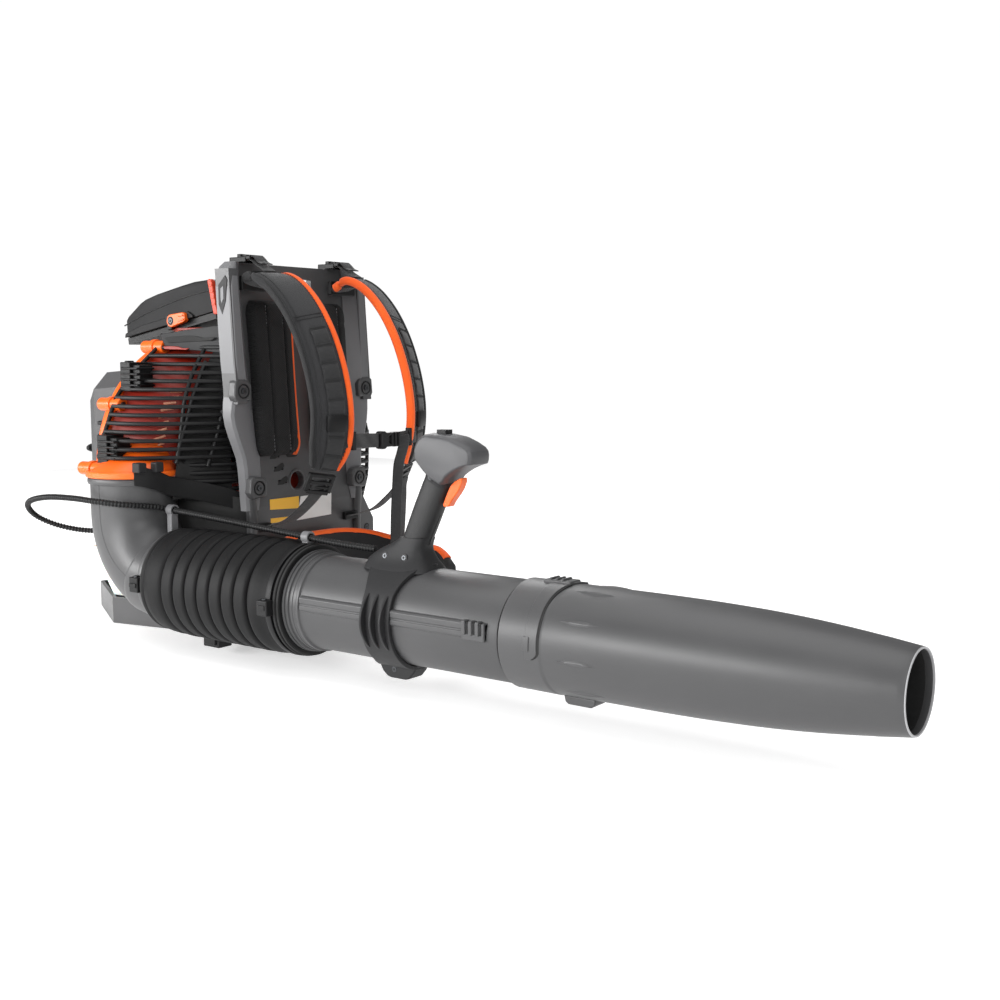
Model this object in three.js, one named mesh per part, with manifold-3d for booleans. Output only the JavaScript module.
// Backpack leaf blower: back frame and harness, two-stroke engine, fan housing, elbow, flexible
// hose, control tube with throttle handle, and nozzle. Millimetres, +X forward along the blow
// tube, +Y to the wearer's left, +Z up. The origin lies on the floor under the base stand.
import * as THREE from 'three';
import { mergeVertices } from 'three/addons/utils/BufferGeometryUtils.js';
import Module from 'manifold-3d';

const wasm = await Module();
wasm.setup();

// ---------------------------------------------------------------- driving dimensions
const GAP = 0.3; // running gap between faces that touch
const TUBE_Y = -205; // blow line, to the right of the wearer
const TUBE_Z = 95;
const TUBE_R = 60; // outside of the control tube
const BORE_R = 54.5;
const FAN_Y = -20; // crank and fan axis, along X
const FAN_Z = 290;
const SPLIT_X = -36; // joint plane of the two fan housing halves
const ELBOW_X = 3; // axis of the elbow's upright leg
const ELBOW_TOP = 236;
const ELBOW_BEND = 90;
const ELBOW_END = 100;
const BELLOWS_START = 145; // first crease of the hose
const RING_PITCH = 23.6;
const BELLOWS_SPLIT = BELLOWS_START + 3 * RING_PITCH;
const CUFF_START = BELLOWS_START + 7 * RING_PITCH;
const CUFF_END = 368;
const TUBE_END = 698; // the nozzle's sleeve starts here
const MOUTH_X = 1148;
const MOUTH_R = 43;
const HANDLE_X = 522; // middle of the handle's collar
const GRIP_LEAN = THREE.MathUtils.degToRad(25);
const GRIP_LENGTH = 92;
const CABLE_R = 4.5;
const BASE_HEIGHT = 40;
const BACK_TOP = 540;
const STRAP_Y = 90; // half the distance between the shoulder straps
const STRAP_WIDTH = 62;
const STRAP_THICK = 12;
const WEB_THICK = 2.5;
const FILTER_TILT = THREE.MathUtils.degToRad(-10.35);

// ---------------------------------------------------------------- finishes
const finish = (color, roughness, metalness = 0) =>
  new THREE.MeshStandardMaterial({ color, roughness, metalness });
const GREY = finish(0x4b4b4c, 0.5);
const LIGHT_GREY = finish(0x68686a, 0.5);
const BLACK = finish(0x1b1b1c, 0.55);
const RUBBER = finish(0x242425, 0.8);
const FABRIC = finish(0x2c2c2e, 0.95);
const ORANGE = finish(0xf2640f, 0.45);
const TANK = finish(0xe8e8e4, 0.4);
const ALLOY = finish(0xa5a7a8, 0.4, 0.9);
const STEEL = finish(0x77797b, 0.35, 1);
const PAPER = finish(0xd8cfb0, 0.9);

// ---------------------------------------------------------------- solids and booleans
const solid = (geometry) => {
  const bare = geometry.clone();
  for (const name of Object.keys(bare.attributes)) {
    if (name !== 'position') bare.deleteAttribute(name);
  }
  const merged = mergeVertices(bare, 1e-4);
  const index = merged.index.array;
  return new wasm.Manifold(new wasm.Mesh({
    numProp: 3,
    vertProperties: new Float32Array(merged.attributes.position.array),
    triVerts: new Uint32Array(index),
  }));
};

const surface = (manifold) => {
  const mesh = manifold.getMesh();
  const geometry = new THREE.BufferGeometry();
  geometry.setAttribute('position', new THREE.BufferAttribute(mesh.vertProperties, 3));
  geometry.setIndex(new THREE.BufferAttribute(mesh.triVerts, 1));
  return geometry;
};

const join = (first, ...others) =>
  surface(others.reduce((sum, next) => sum.add(solid(next)), solid(first)));

const cut = (first, ...others) =>
  surface(others.reduce((rest, next) => rest.subtract(solid(next)), solid(first)));

const common = (first, second) => surface(solid(first).intersect(solid(second)));

// ---------------------------------------------------------------- basic shapes
const block = ([x0, x1], [y0, y1], [z0, z1]) =>
  new THREE.BoxGeometry(x1 - x0, y1 - y0, z1 - z0)
    .translate((x0 + x1) / 2, (y0 + y1) / 2, (z0 + z1) / 2);

const rodX = (r, [x0, x1], y, z, sides = 16) =>
  new THREE.CylinderGeometry(r, r, x1 - x0, sides)
    .rotateZ(-Math.PI / 2).translate((x0 + x1) / 2, y, z);

const rodY = (r, x, [y0, y1], z, sides = 16) =>
  new THREE.CylinderGeometry(r, r, y1 - y0, sides).translate(x, (y0 + y1) / 2, z);

const rodZ = (r, x, y, [z0, z1], sides = 16) =>
  new THREE.CylinderGeometry(r, r, z1 - z0, sides)
    .rotateX(Math.PI / 2).translate(x, y, (z0 + z1) / 2);

const shapeOf = (points) => new THREE.Shape(points.map(([a, b]) => new THREE.Vector2(a, b)));

// An outline in X and Z, pushed out along Y.
const sidePlate = (points, [y0, y1]) =>
  new THREE.ExtrudeGeometry(shapeOf(points), { depth: y1 - y0, bevelEnabled: false })
    .rotateX(Math.PI / 2).translate(0, y1, 0);

// An outline in Y and Z, pushed out along X.
const backPlate = (points, [x0, x1]) =>
  new THREE.ExtrudeGeometry(shapeOf(points), { depth: x1 - x0, bevelEnabled: false })
    .rotateZ(Math.PI / 2).rotateY(Math.PI / 2).translate(x0, 0, 0);

// An outline in X and Y, pushed out along Z.
const floorPlate = (points, [z0, z1]) =>
  new THREE.ExtrudeGeometry(shapeOf(points), { depth: z1 - z0, bevelEnabled: false })
    .translate(0, 0, z0);

// Turns every face of a closed skin outward, whichever way its rings were listed.
const outward = (geometry) => {
  const { array } = geometry.index;
  const corner = (i) => new THREE.Vector3().fromBufferAttribute(geometry.attributes.position, array[i]);
  let volume = 0;
  for (let i = 0; i < array.length; i += 3) {
    volume += corner(i).dot(corner(i + 1).cross(corner(i + 2)));
  }
  if (volume < 0) {
    for (let i = 0; i < array.length; i += 3) {
      [array[i], array[i + 1]] = [array[i + 1], array[i]];
    }
  }
  return geometry;
};

// A ring turned about the X axis from a closed [x, r] profile.
const turnedX = (profile, y, z, sides = 24) => {
  const loop = [...profile, profile[0]].map(([x, r]) => new THREE.Vector2(r, x));
  return outward(new THREE.LatheGeometry(loop, sides).rotateZ(-Math.PI / 2)).translate(0, y, z);
};

// A closed skin over rings of points, with a flat cap at each end.
const skin = (rings) => {
  const count = rings[0].length;
  const position = rings.flat(2);
  const index = [];
  for (let i = 0; i + 1 < rings.length; i++) {
    for (let j = 0; j < count; j++) {
      const a = i * count + j;
      const b = i * count + (j + 1) % count;
      index.push(a, b, b + count, a, b + count, a + count);
    }
  }
  const last = (rings.length - 1) * count;
  for (let j = 1; j + 1 < count; j++) {
    index.push(0, j + 1, j);
    index.push(last, last + j, last + j + 1);
  }
  const geometry = new THREE.BufferGeometry();
  geometry.setAttribute('position', new THREE.Float32BufferAttribute(position, 3));
  geometry.setIndex(index);
  return outward(geometry);
};

// A flat band swept along points. across is the direction of its width.
const ribbon = (points, across, width, thick) => {
  const path = points.map((p) => new THREE.Vector3(...p));
  const side = new THREE.Vector3(...across).normalize();
  const rings = path.map((p, i) => {
    const before = path[Math.max(i - 1, 0)];
    const after = path[Math.min(i + 1, path.length - 1)];
    const along = after.clone().sub(before).normalize();
    const up = along.clone().cross(side).normalize();
    const corner = (a, b) =>
      p.clone().addScaledVector(side, a * width / 2).addScaledVector(up, b * thick / 2).toArray();
    return [corner(-1, -1), corner(1, -1), corner(1, 1), corner(-1, 1)];
  });
  return skin(rings);
};

// The same band with rounded bends between hand-placed points.
const smoothRibbon = (points, across, width, thick, steps) => {
  const curve = new THREE.CatmullRomCurve3(points.map((p) => new THREE.Vector3(...p)));
  return ribbon(curve.getPoints(steps).map((p) => p.toArray()), across, width, thick);
};

const cable = (points, steps) => {
  const curve = new THREE.CatmullRomCurve3(points.map((p) => new THREE.Vector3(...p)));
  const section = new THREE.Shape().absarc(0, 0, CABLE_R, 0, Math.PI * 2);
  const geometry = new THREE.ExtrudeGeometry(section, {
    steps, extrudePath: curve, bevelEnabled: false, curveSegments: 4,
  });
  return geometry;
};

// ---------------------------------------------------------------- the assembly
const blower = new THREE.Group();
const add = (name, geometry, material, parent = blower) => {
  const mesh = new THREE.Mesh(geometry, material);
  mesh.name = name;
  parent.add(mesh);
  return mesh;
};
const SIDES = [['right', -1], ['left', 1]];

// ---------------------------------------------------------------- base stand and fuel tank
const STAND = [[-245, -85], [-108, -165], [172, -110], [176, 0], [172, 110], [-108, 165], [-245, 85]];
const STAND_WALL = 0.97;
const STAND_FLOOR = 4;
const standHollow = STAND.map(([x, y]) => [x * STAND_WALL, y * STAND_WALL]);
add('base_stand', cut(
  floorPlate(STAND, [0, BASE_HEIGHT]),
  floorPlate(standHollow, [STAND_FLOOR, BASE_HEIGHT + 1]),
), GREY);

const TANK_X = [-190, -40];
const TANK_HALF = 122;
const TANK_TOP = 115;
const TANK_CHAMFER = 30;
// The right-hand side widens upward, past the elbow's back.
const tankRing = (z, shoulder) => [
  [TANK_X[0], TANK_CHAMFER - TANK_HALF], ...shoulder, [TANK_X[1], -TANK_HALF], [TANK_X[1], TANK_HALF],
  [TANK_X[0] + TANK_CHAMFER, TANK_HALF], [TANK_X[0], TANK_HALF - TANK_CHAMFER],
].map(([x, y]) => [x, y, z]);
add('fuel_tank', skin([
  tankRing(BASE_HEIGHT + GAP, [[-124, -150], [-66, -146]]),
  tankRing(TANK_TOP, [[-156, -164], [-68, -158]]),
]), TANK);

const CAP_X = -105;
const CAP_Z = 80;
const CAP_R = 26;
add('fuel_cap', join(
  rodY(CAP_R, CAP_X, [TANK_HALF + GAP, TANK_HALF + 16], CAP_Z, 20),
  block([CAP_X - 20, CAP_X + 20], [TANK_HALF + 10, TANK_HALF + 22], [CAP_Z - 4, CAP_Z + 4]),
), BLACK);

// ---------------------------------------------------------------- backrest frame and pads
const BACK_KNEE = 190; // the plate stands upright below this height and leans back above it
const BACK_FRONT = 146;
const BACK_LEAN = 24 / 345; // rearward per millimetre of height
const BACK_PLATE_THICK = 10;
const RAIL_DEPTH = 18;
const frontFace = (z) => BACK_FRONT - BACK_LEAN * Math.max(0, z - BACK_KNEE);
const leaning = (z0, z1, from, to) => [
  [frontFace(z0) + from, z0], [frontFace(z0) + to, z0],
  ...(z0 < BACK_KNEE ? [[BACK_FRONT + to, BACK_KNEE]] : []),
  [frontFace(z1) + to, z1], [frontFace(z1) + from, z1],
  ...(z0 < BACK_KNEE ? [[BACK_FRONT + from, BACK_KNEE]] : []),
];
const FRAME_OUTLINE = [
  [-112, 40 + GAP], [118, 40 + GAP], [120, 100], [150, 118], [150, 150], [125, 190],
  [107, 225], [107, 290], [125, 345], [140, 430], [138, 520], [112, BACK_TOP],
  [-112, BACK_TOP], [-138, 520], [-140, 430], [-125, 345], [-107, 290], [-100, 235], [-112, 190],
];
const RAIL_Y = [122, 140];
const rail = (sign) => sidePlate(
  leaning(340, 530, -BACK_PLATE_THICK, RAIL_DEPTH),
  [Math.min(sign * RAIL_Y[0], sign * RAIL_Y[1]), Math.max(sign * RAIL_Y[0], sign * RAIL_Y[1])],
);
const slits = [[-58, 262], [-52, 243], [-46, 223], [-24, 262], [24, 262], [46, 243]];
add('backrest_frame', cut(
  join(
    common(sidePlate(leaning(40 + GAP, BACK_TOP, -BACK_PLATE_THICK, 0), [-160, 160]),
      backPlate(FRAME_OUTLINE, [80, 180])),
    rail(1), rail(-1),
  ),
  rodX(13.5, [100, 200], -17, 223),
  rodX(4, [100, 200], 134, 137, 8),
  block([100, 200], [-40, 40], [500, 522]),
  ...slits.map(([y, z]) => block([100, 200], [y - 9, y + 9], [z - 3, z + 3])),
), GREY);

const PAD_Z = [263, 487];
const PAD_THICK = 22;
for (const [side, sign] of SIDES) {
  const reach = sign < 0 ? [-98, -18] : [18, 98];
  add(`back_pad_${side}`, sidePlate(leaning(...PAD_Z, GAP + 0.3, PAD_THICK), reach), FABRIC);
}

add('hip_belt_pad', smoothRibbon([
  [318, -96, 78], [285, -108, 80], [228, -112, 88], [188, -94, 102], [167, -58, 108], [162, 0, 109],
  [167, 58, 108], [188, 98, 102], [228, 124, 90], [288, 140, 80], [322, 130, 76],
], [0, 0, 1], 70, 18, 24), FABRIC);

// ---------------------------------------------------------------- harness
const STRAP_PATH = [
  [141, 511], [168, 519], [200, 506], [232, 476], [258, 436], [276, 392], [286, 350],
  [288, 314], [282, 278], [270, 250],
];
const CHEST_Z = 290;
for (const [side, sign] of SIDES) {
  const y = sign * STRAP_Y;
  // The strap's inner edge stands further forward than its outer edge.
  const across = [0.37, -0.93 * sign, 0];
  add(`shoulder_strap_${side}`,
    smoothRibbon(STRAP_PATH.map(([x, z]) => [x, y, z]), across, STRAP_WIDTH, STRAP_THICK, 22),
    FABRIC);
  add(`strap_adjuster_${side}`, join(
    block([104, 138], [y - 16, y + 16], [BACK_TOP + GAP, BACK_TOP + 7]),
    block([112, 146], [y - 13, y + 13], [BACK_TOP + 5, BACK_TOP + 13]),
  ), BLACK);
  add(`ladder_lock_${side}`, ribbon([[268, y, 244], [255, y, 219]], across, 42, 9), BLACK);
  add(`lower_webbing_${side}`,
    ribbon([[254, y, 216], [214, y, 178], [152, y * 1.03, 160]], [0.15, -sign, 0], 25, WEB_THICK),
    BLACK);
}
const CHEST_X = 297;
add('chest_strap_right',
  ribbon([[CHEST_X + 2, -58.5, CHEST_Z], [CHEST_X, -6, CHEST_Z - 2]], [0, 0, 1], 20, WEB_THICK), BLACK);
add('chest_buckle_socket',
  block([CHEST_X - 6, CHEST_X + 6], [-5.7, 18], [CHEST_Z - 15, CHEST_Z + 11]), BLACK);
add('chest_buckle_plug',
  block([CHEST_X - 5, CHEST_X + 5], [18 + GAP, 38], [CHEST_Z - 13, CHEST_Z + 9]), BLACK);
add('chest_strap_left', join(
  ribbon([[CHEST_X, 38 + GAP, CHEST_Z - 2], [CHEST_X + 2, 58, CHEST_Z]], [0, 0, 1], 20, WEB_THICK),
  ribbon([[CHEST_X + 1, 48.3, CHEST_Z - 4], [CHEST_X - 9, 49, 250], [CHEST_X - 19, 54, 185],
    [CHEST_X - 25, 60, 120]], [0.25, 0.97, 0], 19, WEB_THICK),
), BLACK);

// ---------------------------------------------------------------- fan housing
const DEGREE = Math.PI / 180;
// Radius of the scroll, in degrees from straight down, round by the left, the top and the right.
const scroll = (turn) => 116 + 0.13 * turn + 50 * Math.max(0, (turn - 180) / 90) ** 1.3;
const SCROLL_STEPS = 36;
const SCROLL_CLOSE = 282; // past here the outline turns in, over the outlet, to the tongue
const TONGUE_R = 118;
const TONGUE_DROP = 50;
const scrollRing = (x, scale, inset) => {
  const ring = [];
  for (let i = 0; i < SCROLL_STEPS; i++) {
    const turn = i * 360 / SCROLL_STEPS;
    const back = (turn - SCROLL_CLOSE) / (360 - SCROLL_CLOSE);
    const full = turn <= SCROLL_CLOSE ? scroll(turn) : Math.max(
      TONGUE_R,
      Math.min(THREE.MathUtils.lerp(scroll(SCROLL_CLOSE), scroll(0), back),
        TONGUE_DROP / Math.max(0.01, Math.cos(turn * DEGREE))),
    );
    const r = full * scale - inset;
    ring.push([x, FAN_Y + r * Math.sin(turn * DEGREE), FAN_Z - r * Math.cos(turn * DEGREE)]);
  }
  return ring;
};
const circleZ = (r, y, z) => Array.from({ length: 24 }, (_, i) => [
  ELBOW_X + r * Math.cos(i * 15 * DEGREE), y + r * Math.sin(i * 15 * DEGREE), z,
]);
const HOUSING_WALL = 4;
const housingBody = (inset) => join(
  skin([[-62, 0.96], [-54, 1], [0, 0.97], [38, 0.86], [58, 0.7]].map(([x, scale], i) =>
    scrollRing(x + inset * [1, 0.6, 0, -0.6, -1][i], scale, inset))),
  skin([
    circleZ(60.5 - inset, TUBE_Y, ELBOW_TOP + GAP - (inset ? 1 : 0)),
    circleZ(47 - inset, -184, 264), circleZ(36 - inset, -160, 300),
  ]),
);
const FLANGE = 6;
const LUGS = [[-95, 340], [-75, 232], [90, 335], [78, 235]];
const SHELL_FRONT = 58;
const EYE_R = 62;
const housing = cut(
  join(
    housingBody(0),
    skin([scrollRing(-30, 1, -FLANGE), scrollRing(-44, 1, -FLANGE)]),
    ...LUGS.map(([y, z]) => rodX(16, [-34, SHELL_FRONT], y, z)),
    turnedX([[-43, 60], [-30, 60], [-30, 68], [-43, 68]], TUBE_Y, 260, 4),
  ),
  block([-100, 100], [-300, -143], [100, ELBOW_TOP + GAP]),
  housingBody(HOUSING_WALL),
  rodX(EYE_R, [40, 80], FAN_Y, FAN_Z, 28),
  rodX(24, [-90, -40], FAN_Y, FAN_Z, 20),
);
const WIDE = [-400, 400];
add('fan_housing_front', common(housing, block([SPLIT_X, 200], WIDE, [0, 600])), ORANGE);
add('fan_housing_rear', common(housing, block([-200, SPLIT_X - GAP], WIDE, [0, 600])), ORANGE);

LUGS.forEach(([y, z], i) => {
  const end = frontFace(z) - BACK_PLATE_THICK - 1.4;
  add(`rubber_mount_${['upper_right', 'lower_right', 'upper_left', 'lower_left'][i]}`,
    rodX(14, [SHELL_FRONT + GAP, end], y, z), RUBBER);
});

const DISC_X = -50;
const IMPELLER_R = 100;
const BLADES = 11;
const blade = (i) => block([DISC_X + 2, 24], [42, 86], [-1.5, 1.5])
  .rotateX(i * 2 * Math.PI / BLADES).translate(0, FAN_Y, FAN_Z);
add('impeller', join(
  rodX(IMPELLER_R, [DISC_X, DISC_X + 4], FAN_Y, FAN_Z, 32),
  rodX(24, [DISC_X, -12], FAN_Y, FAN_Z, 20),
  ...Array.from({ length: BLADES }, (_, i) => blade(i)),
), BLACK);

// ---------------------------------------------------------------- intake grilles
const table = (rows, z) => {
  const at = rows.findIndex(([height]) => height >= z);
  if (at <= 0) return rows[at < 0 ? rows.length - 1 : 0][1];
  const [z0, v0] = rows[at - 1];
  const [z1, v1] = rows[at];
  return THREE.MathUtils.mapLinear(z, z0, z1, v0, v1);
};
const SLAT_PITCH = 12;
const SLAT_HEIGHT = 3.6;
const SLAT_DEPTH = 6;
const RIGHT_EDGE = [[262, -243], [290, -234], [345, -211], [380, -182], [425, -126]];
const RIGHT_ROOT = [[200, -97], [290, -104], [425, -126]];
const rightSlat = (z) => {
  const edge = table(RIGHT_EDGE, z);
  const root = table(RIGHT_ROOT, z);
  return [[-26, edge, z], [25, edge + 5, z], [76, edge + 0.42 * (root - edge), z], [112, root, z]];
};
const LOW_START = [70, -168];
const lowSlat = (z) => [[...LOW_START, z], [92, -140, z], [112, table(RIGHT_ROOT, z), z]];
const LEFT_EDGE = [[150, 182], [215, 205], [282, 208], [340, 186], [368, 164], [400, 132]];
const leftSlat = (z) => {
  const edge = table(LEFT_EDGE, z);
  return [[-32, edge + 8, z], [50, edge + 4, z], [92, edge - 10, z], [112, 112, z]];
};
const heights = (from, to) =>
  Array.from({ length: Math.floor((to - from) / SLAT_PITCH) + 1 }, (_, i) => from + i * SLAT_PITCH);
const slat = (path) => ribbon(path, [0, 0, 1], SLAT_HEIGHT, SLAT_DEPTH);
const post = (rows, k) => ribbon(rows.map((row) => row[k]), [1, 0, 0], 5, 4.5);

const rightRows = heights(264, 420).map(rightSlat);
const lowRows = heights(204, 252).map(lowSlat);
add('intake_grille_right', join(
  ribbon([...lowRows, ...rightRows].map((row) => row.at(-1)), [1, 0, 0], 5, 4.5),
  ribbon([...lowRows.map((row) => row[0]), [74, -176, 266]], [1, 0, 0], 5, 4.5),
  post(rightRows, 0), post(rightRows, 2),
  ...rightRows.map(slat), ...lowRows.map(slat),
), BLACK);
const leftRows = heights(152, 402).map(leftSlat);
add('intake_grille_left', join(
  post(leftRows, 0), post(leftRows, 2), post(leftRows, 3),
  ...leftRows.map(slat),
), BLACK);

// ---------------------------------------------------------------- engine
const CASE_X = [-150, -66];
add('crankcase', cut(
  block(CASE_X, [FAN_Y - 52, FAN_Y + 52], [FAN_Z - 50, FAN_Z + 40]),
  rodX(38, [-144, -72], FAN_Y, FAN_Z, 20),
  rodX(11, [-160, -60], FAN_Y, FAN_Z),
  rodZ(17, -108, FAN_Y, [FAN_Z, FAN_Z + 50]),
), ALLOY);
add('crankshaft', join(
  rodX(8, [-225, DISC_X - GAP], FAN_Y, FAN_Z),
  rodX(27, [-120, -96], FAN_Y, FAN_Z, 20),
  rodX(44, [-200, -182], FAN_Y, FAN_Z, 24),
), STEEL);

const CYLINDER_Z = FAN_Z + 40 + GAP;
const CYLINDER_TOP = 398;
const fins = [[-138, CYLINDER_Z]];
for (let z = CYLINDER_Z + 8; z < CYLINDER_TOP - 6; z += 10) {
  fins.push([-138, z + 3], [-148, z + 3], [-148, z + 6], [-138, z + 6]);
}
const finOutline = [...fins, [-138, CYLINDER_TOP], ...[[-138, CYLINDER_TOP], ...[...fins].reverse()]
  .map(([x, z]) => [-216 - x, z])];
add('cylinder', cut(
  sidePlate(finOutline, [FAN_Y - 40, FAN_Y + 40]),
  rodZ(16, -108, FAN_Y, [CYLINDER_Z - 1, CYLINDER_Z + 50]),
), ALLOY);
add('spark_plug', join(
  rodZ(8, -108, FAN_Y, [CYLINDER_TOP + GAP, 412], 12),
  block([-128, -100], [FAN_Y - 7, FAN_Y + 7], [408, 422]),
), BLACK);
add('muffler', cut(
  block([-150, -76], [FAN_Y + 40 + GAP, 100], [330, 392]),
  block([-147, -79], [FAN_Y + 43 + GAP, 97], [333, 389]),
  rodX(7, [-160, -140], 80, 375, 10),
), STEEL);
const CARB_Y = [-104, FAN_Y - 40 - GAP];
const CARB_Z = 360;
add('carburettor', cut(
  join(block([-130, -86], CARB_Y, [CARB_Z - 20, CARB_Z + 20]),
    rodX(6, [-146, -100], -92, CARB_Z - 7, 10)),
  rodY(9, -98, [-80, -40], CARB_Z + 2, 14),
), ALLOY);
const PRIMER_X = -112;
add('primer_bulb', rodY(8, PRIMER_X, [-120, CARB_Y[0] - 3], CARB_Z, 14), TANK);

const COVER_SECTIONS = [
  [-66, [-136, 122], [152, 390]],
  [-190, [-126, 112], [160, 382]],
  [-246, [-92, 88], [172, 362]],
  [-258, [-80, 78], [182, 350]],
];
const CORNER = 26;
const coverRing = ([x, [y0, y1], [z0, z1]], inset, shift) => {
  const c = CORNER;
  return [
    [y0 + inset, z1 - c], [y0 + inset, z0 + c], [y0 + c, z0 + inset], [y1 - c, z0 + inset],
    [y1 - inset, z0 + c], [y1 - inset, z1 - c], [y1 - c, z1 - inset], [y0 + c, z1 - inset],
  ].map(([y, z]) => [x + shift, y, z]);
};
const COVER_WALL = 3.5;
add('engine_cover', cut(
  skin(COVER_SECTIONS.map((row) => coverRing(row, 0, 0))),
  skin(COVER_SECTIONS.map((row, i) => coverRing(row, COVER_WALL, i === 0 ? 1 : i * 1.3))),
  block([-160, -50], [-72, 106], [330, 420]),
  rodY(12, PRIMER_X, [-160, -110], CARB_Z),
), GREY);

const STARTER_X = -258 - GAP;
add('starter_housing', turnedX([
  [STARTER_X - 24, 0.01], [STARTER_X - 24, 40], [STARTER_X - 16, 52], [STARTER_X, 54],
  [STARTER_X, 0.01],
], FAN_Y, FAN_Z, 20), GREY);
const PULL_X = STARTER_X - 24 - GAP;
add('starter_handle', sidePlate([
  [PULL_X, 248], [PULL_X, 262], [PULL_X - 12, 264], [PULL_X - 15, 256], [PULL_X - 12, 248],
], [-68, -28]), BLACK);

// ---------------------------------------------------------------- air filter
const filter = new THREE.Group();
filter.position.set(-54, 0, 444);
filter.rotation.y = FILTER_TILT;
blower.add(filter);
const FILTER_X = [-104, 104];
const FILTER_HALF = 85;
const COVER_FRONT = 126;
add('air_filter_base', block(FILTER_X, [-FILTER_HALF + 3, FILTER_HALF - 3], [0, 10]), BLACK, filter);
add('air_filter_element',
  block([-72, 72], [-62, 62], [10 + GAP, 36]), PAPER, filter);
const lid = (inset, floor) => sidePlate([
  [FILTER_X[0] - 2 + inset, floor], [COVER_FRONT - inset, floor], [COVER_FRONT - inset, 53 - inset],
  [FILTER_X[1] - 8, 61 - inset], [FILTER_X[1] - 30, 64 - inset],
  [FILTER_X[0] + 60, 62 - inset], [FILTER_X[0] + 4 + inset, 40 - inset],
], [-FILTER_HALF + inset, FILTER_HALF - inset]);
add('air_filter_cover', cut(lid(0, 10 + GAP), lid(3, 9)), GREY, filter);
const LATCH_X = 16;
const LATCH_Z = 14;
for (const [side, sign] of SIDES) {
  const near = sign * (FILTER_HALF + GAP + 0.2);
  const far = sign * (FILTER_HALF + 9);
  const reach = [Math.min(near, far), Math.max(near, far)];
  add(`filter_latch_${side}`, join(
    rodY(10, LATCH_X, reach, LATCH_Z),
    block([LATCH_X, LATCH_X + 32], reach, [LATCH_Z - 7, LATCH_Z + 7]),
  ), ORANGE, filter);
}
add('choke_lever', sidePlate([
  [58, 468], [68, 468], [56, 520], [46, 520],
], [-97, -89]), ORANGE);

// ---------------------------------------------------------------- elbow and flexible hose
const ELBOW_R = 60.5;
const elbowPath = [[ELBOW_X, ELBOW_TOP, 0]];
for (let i = 0; i <= 8; i++) {
  const turn = i * Math.PI / 16;
  elbowPath.push([
    ELBOW_X + ELBOW_BEND * (1 - Math.cos(turn)),
    TUBE_Z + ELBOW_BEND * (1 - Math.sin(turn)), turn,
  ]);
}
elbowPath.push([ELBOW_END, TUBE_Z, Math.PI / 2]);
const elbowRing = ([x, z, turn], r, sides = 22) => Array.from({ length: sides }, (_, i) => {
  const a = i * 2 * Math.PI / sides;
  return [
    x + r * Math.cos(a) * Math.cos(turn), TUBE_Y - r * Math.sin(a), z + r * Math.cos(a) * Math.sin(turn),
  ];
});
const longer = (path) => [
  [path[0][0], path[0][1] + 2, 0], ...path.slice(1, -1), [ELBOW_END + 2, TUBE_Z, Math.PI / 2],
];
add('elbow_duct', cut(
  skin(elbowPath.map((row) => elbowRing(row, ELBOW_R))),
  skin(longer(elbowPath).map((row) => elbowRing(row, ELBOW_R - 4))),
), GREY);

const CABLE_CLIP_REAR = [86, 192];
const CABLE_CLIP_FRONT = [351, 175.4];
const clipHole = ([x, z]) => rodX(CABLE_R + 1.4, [x - 20, x + 20], TUBE_Y, z, 12);
add('elbow_clamp', cut(
  join(
    turnedX([[85, 62.3], [85, 65.5], [95, 65.5], [95, 62.3]], TUBE_Y, TUBE_Z),
    block([82, 91], [TUBE_Y - 9, TUBE_Y + 9], [158.5, CABLE_CLIP_REAR[1] + 8]),
    block([80, 98], [TUBE_Y - 74, TUBE_Y - 63], [TUBE_Z - 9, TUBE_Z + 11]),
  ),
  clipHole(CABLE_CLIP_REAR),
), BLACK);

const PEAK_R = 75;
const VALLEY_R = 67.5;
const HOSE_BORE = 62;
const ringsFrom = (start, count) => {
  const profile = [];
  for (let i = 0; i < count; i++) {
    const x = start + i * RING_PITCH;
    profile.push([x + 2, VALLEY_R], [x + 6, PEAK_R], [x + 17.6, PEAK_R], [x + 21.6, VALLEY_R]);
  }
  return profile;
};
const REAR_START = ELBOW_END + GAP;
add('bellows_rear', turnedX([
  [REAR_START, HOSE_BORE], [REAR_START, 71], [REAR_START + 10, 73.5], [BELLOWS_START - 4, 73.5],
  ...ringsFrom(BELLOWS_START, 3),
  [BELLOWS_SPLIT - GAP, VALLEY_R], [BELLOWS_SPLIT - GAP, HOSE_BORE],
], TUBE_Y, TUBE_Z, 24), RUBBER);
add('bellows_front', turnedX([
  [BELLOWS_SPLIT, HOSE_BORE], [BELLOWS_SPLIT, VALLEY_R], ...ringsFrom(BELLOWS_SPLIT, 4),
  [CUFF_START + 4, 74.5], [CUFF_START + 16, 74.5], [CUFF_START + 30, 70.8], [CUFF_END - 6, 70.6],
  [CUFF_END, 66], [CUFF_END, HOSE_BORE],
], TUBE_Y, TUBE_Z, 24), RUBBER);
add('hose_clamp', cut(
  join(
    turnedX([[346, 71.4], [346, 74], [356, 74], [356, 71.4]], TUBE_Y, TUBE_Z, 24),
    block([346.5, 355.5], [TUBE_Y - 8, TUBE_Y + 8], [166.8, CABLE_CLIP_FRONT[1] + 7.5]),
    block([342, 360], [TUBE_Y - 84, TUBE_Y - 73], [TUBE_Z - 9, TUBE_Z + 9]),
  ),
  clipHole(CABLE_CLIP_FRONT),
), BLACK);

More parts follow.
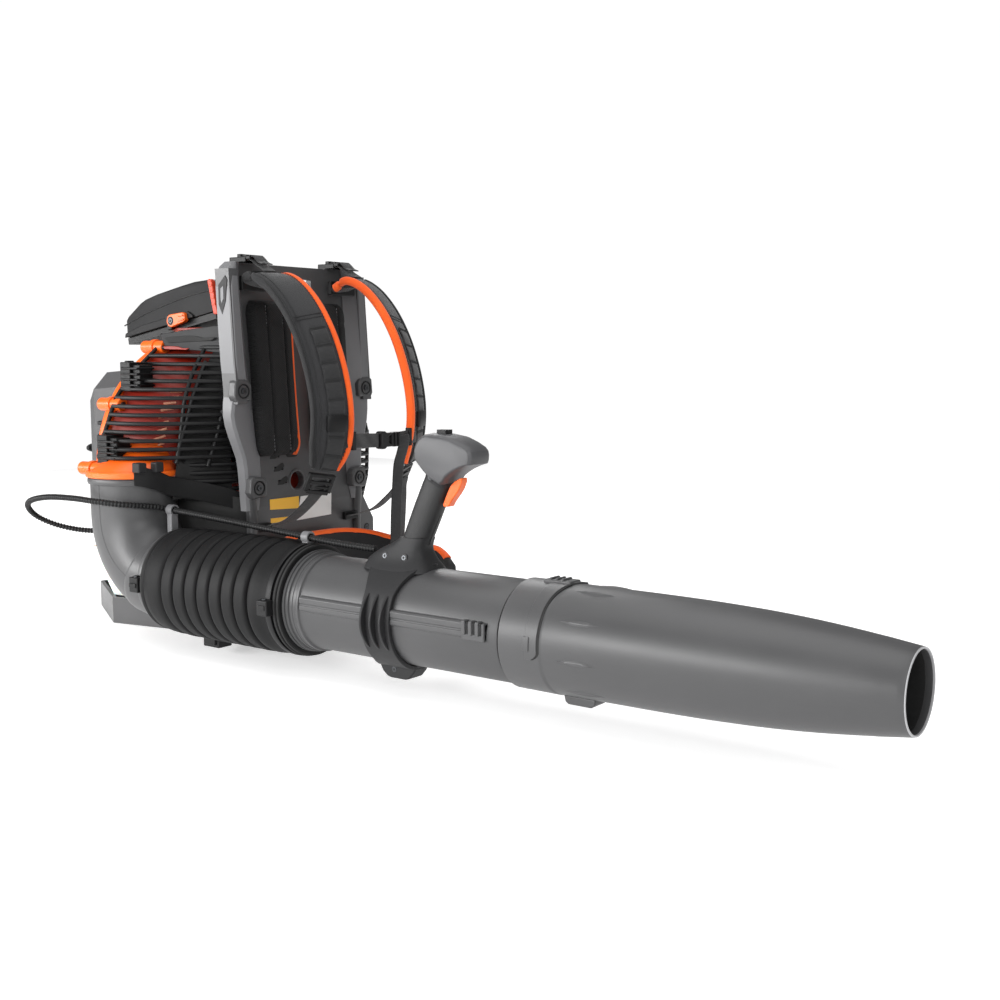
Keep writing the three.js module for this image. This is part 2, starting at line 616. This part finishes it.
// ---------------------------------------------------------------- control tube and nozzle
const RAIL_Z = [94, 112];
const RAIL_X = [396, 684];
add('control_tube', join(
  turnedX([
    [CUFF_END + GAP, BORE_R], [CUFF_END + GAP, 64], [382, 64], [382, 61.5], [390, 61.5], [390, 63],
    [396, 63], [396, TUBE_R], [TUBE_END, TUBE_R], [TUBE_END, 57.2],
    [742, 57.2], [742, BORE_R],
  ], TUBE_Y, TUBE_Z, 32),
  block(RAIL_X, [TUBE_Y - 63, TUBE_Y - 56.5], RAIL_Z),
  ...[658, 668, 678].map((x) => block([x - 3, x + 3], [TUBE_Y - 67, TUBE_Y - 57], [92, 114])),
), GREY);

const NOZZLE_START = TUBE_END + 3;
add('nozzle', join(
  turnedX([
    [NOZZLE_START, 58], [NOZZLE_START, 63], [756, 63], [758, 62.6], [900, 62], [960, 60.5],
    [1020, 57.6], [1060, 53.9], [1100, 49.6], [MOUTH_X, MOUTH_R], [MOUTH_X, MOUTH_R - 2.4],
    [1100, 47.2], [1060, 51.3], [1020, 55], [960, 57.9], [900, 58.4],
  ], TUBE_Y, TUBE_Z, 32),
  block([726, 764], [TUBE_Y - 11, TUBE_Y + 11], [TUBE_Z + 60.5, TUBE_Z + 67]),
  block([756, 798], [TUBE_Y - 13, TUBE_Y + 13], [TUBE_Z - 72, TUBE_Z - 60]),
), GREY);

// ---------------------------------------------------------------- handle
const COLLAR_X = [HANDLE_X - 22, HANDLE_X + 22];
const COLLAR_R = 66.5;
add('handle_collar', cut(
  join(
    rodX(COLLAR_R, COLLAR_X, TUBE_Y, TUBE_Z, 32),
    sidePlate([[467, 152], [563, 152], [560, 163], [548, 172], [545, 178.6], [512, 194],
      [484, 178], [467, 166]], [TUBE_Y - 21, TUBE_Y + 21]),
    sidePlate([[480, 40], [486, 22], [494, 15], [528, 15], [538, 24], [545, 40]],
      [TUBE_Y - 13, TUBE_Y + 13]),
    ...[-15, 0, 15].map((x) => floorPlate([
      [HANDLE_X + x - 2, TUBE_Y - 64], [HANDLE_X + x - 2, TUBE_Y - 73],
      [HANDLE_X + x + 2, TUBE_Y - 73], [HANDLE_X + x + 2, TUBE_Y - 64],
    ], [68, 138])),
  ),
  rodX(TUBE_R + 0.5, [400, 620], TUBE_Y, TUBE_Z, 32),
  block([400, 620], [TUBE_Y - 63.6, TUBE_Y - 50], [RAIL_Z[0] - 0.7, RAIL_Z[1] + 0.7]),
  rodY(3.5, 508, [TUBE_Y - 30, TUBE_Y + 30], 26, 10),
), LIGHT_GREY);

const grip = new THREE.Group();
grip.position.set(534, TUBE_Y, 184);
grip.rotation.y = GRIP_LEAN;
blower.add(grip);
const gripSection = new THREE.Shape().absellipse(0, 0, 18, 15, 0, Math.PI * 2);
add('handle_grip', cut(
  new THREE.ExtrudeGeometry(gripSection,
    { depth: GRIP_LENGTH - GAP, bevelEnabled: false, curveSegments: 9 }).translate(0, 0, GAP),
  block([4, 20], [-7, 7], [54, GRIP_LENGTH + 1]),
), BLACK, grip);

add('handle_head', cut(
  sidePlate([
    [545, 286], [543, 298], [550, 312], [566, 318], [602, 315], [630, 302], [633, 296], [631, 284],
    [606, 275], [594, 268], [589.4, 260.8], [556.8, 275.9],
  ], [TUBE_Y - 21, TUBE_Y + 21]),
  block([571, 585], [TUBE_Y - 7, TUBE_Y + 7], [308, 330]),
  rodX(4, [530, 552], TUBE_Y, 296, 10),
), LIGHT_GREY);
add('stop_switch', block([571.5, 584.5], [TUBE_Y - 6.5, TUBE_Y + 6.5], [313, 322]), BLACK);
add('cruise_lever', join(
  rodY(7, 592, [TUBE_Y + 21 + GAP, TUBE_Y + 26], 293),
  block([568, 592], [TUBE_Y + 21 + GAP, TUBE_Y + 26], [289, 297]),
), BLACK);
add('throttle_trigger', sidePlate([
  [597, 262], [607, 267], [602, 252], [593, 240], [584, 232], [579, 233.5], [584, 245], [590, 255],
], [TUBE_Y - 6, TUBE_Y + 6]), ORANGE);

// ---------------------------------------------------------------- throttle cable
add('throttle_cable_loop', cable([
  [-80, -140.5, 192], [-82, -146, 180], [-96, -152, 160], [-128, -158, 143], [-160, -172, 140],
  [-190, -198, 148], [-203, -225, 163], [-190, -250, 181], [-150, -272, 196], [-90, -284, 206],
  [-30, -284, 208], [14, -280, 206], [48, -260, 202], [70, -222, 197], [76, -209, 193.4],
  [81, -205.2, 192.1], [90, TUBE_Y, 191.8],
  [140, TUBE_Y, 189], [BELLOWS_SPLIT - GAP, TUBE_Y, 184.4],
], 56), BLACK);
add('throttle_cable_front', cable([
  [BELLOWS_SPLIT, TUBE_Y, 184.4], [275, TUBE_Y, 180.4], [338, TUBE_Y, 176.3],
], 5), BLACK);
add('throttle_cable_tube', cable([
  [338 + GAP, TUBE_Y, 176.3], [351, TUBE_Y, 175.4], [400, TUBE_Y, 172], [466.6, TUBE_Y, 170],
], 8), BLACK);

export default blower;
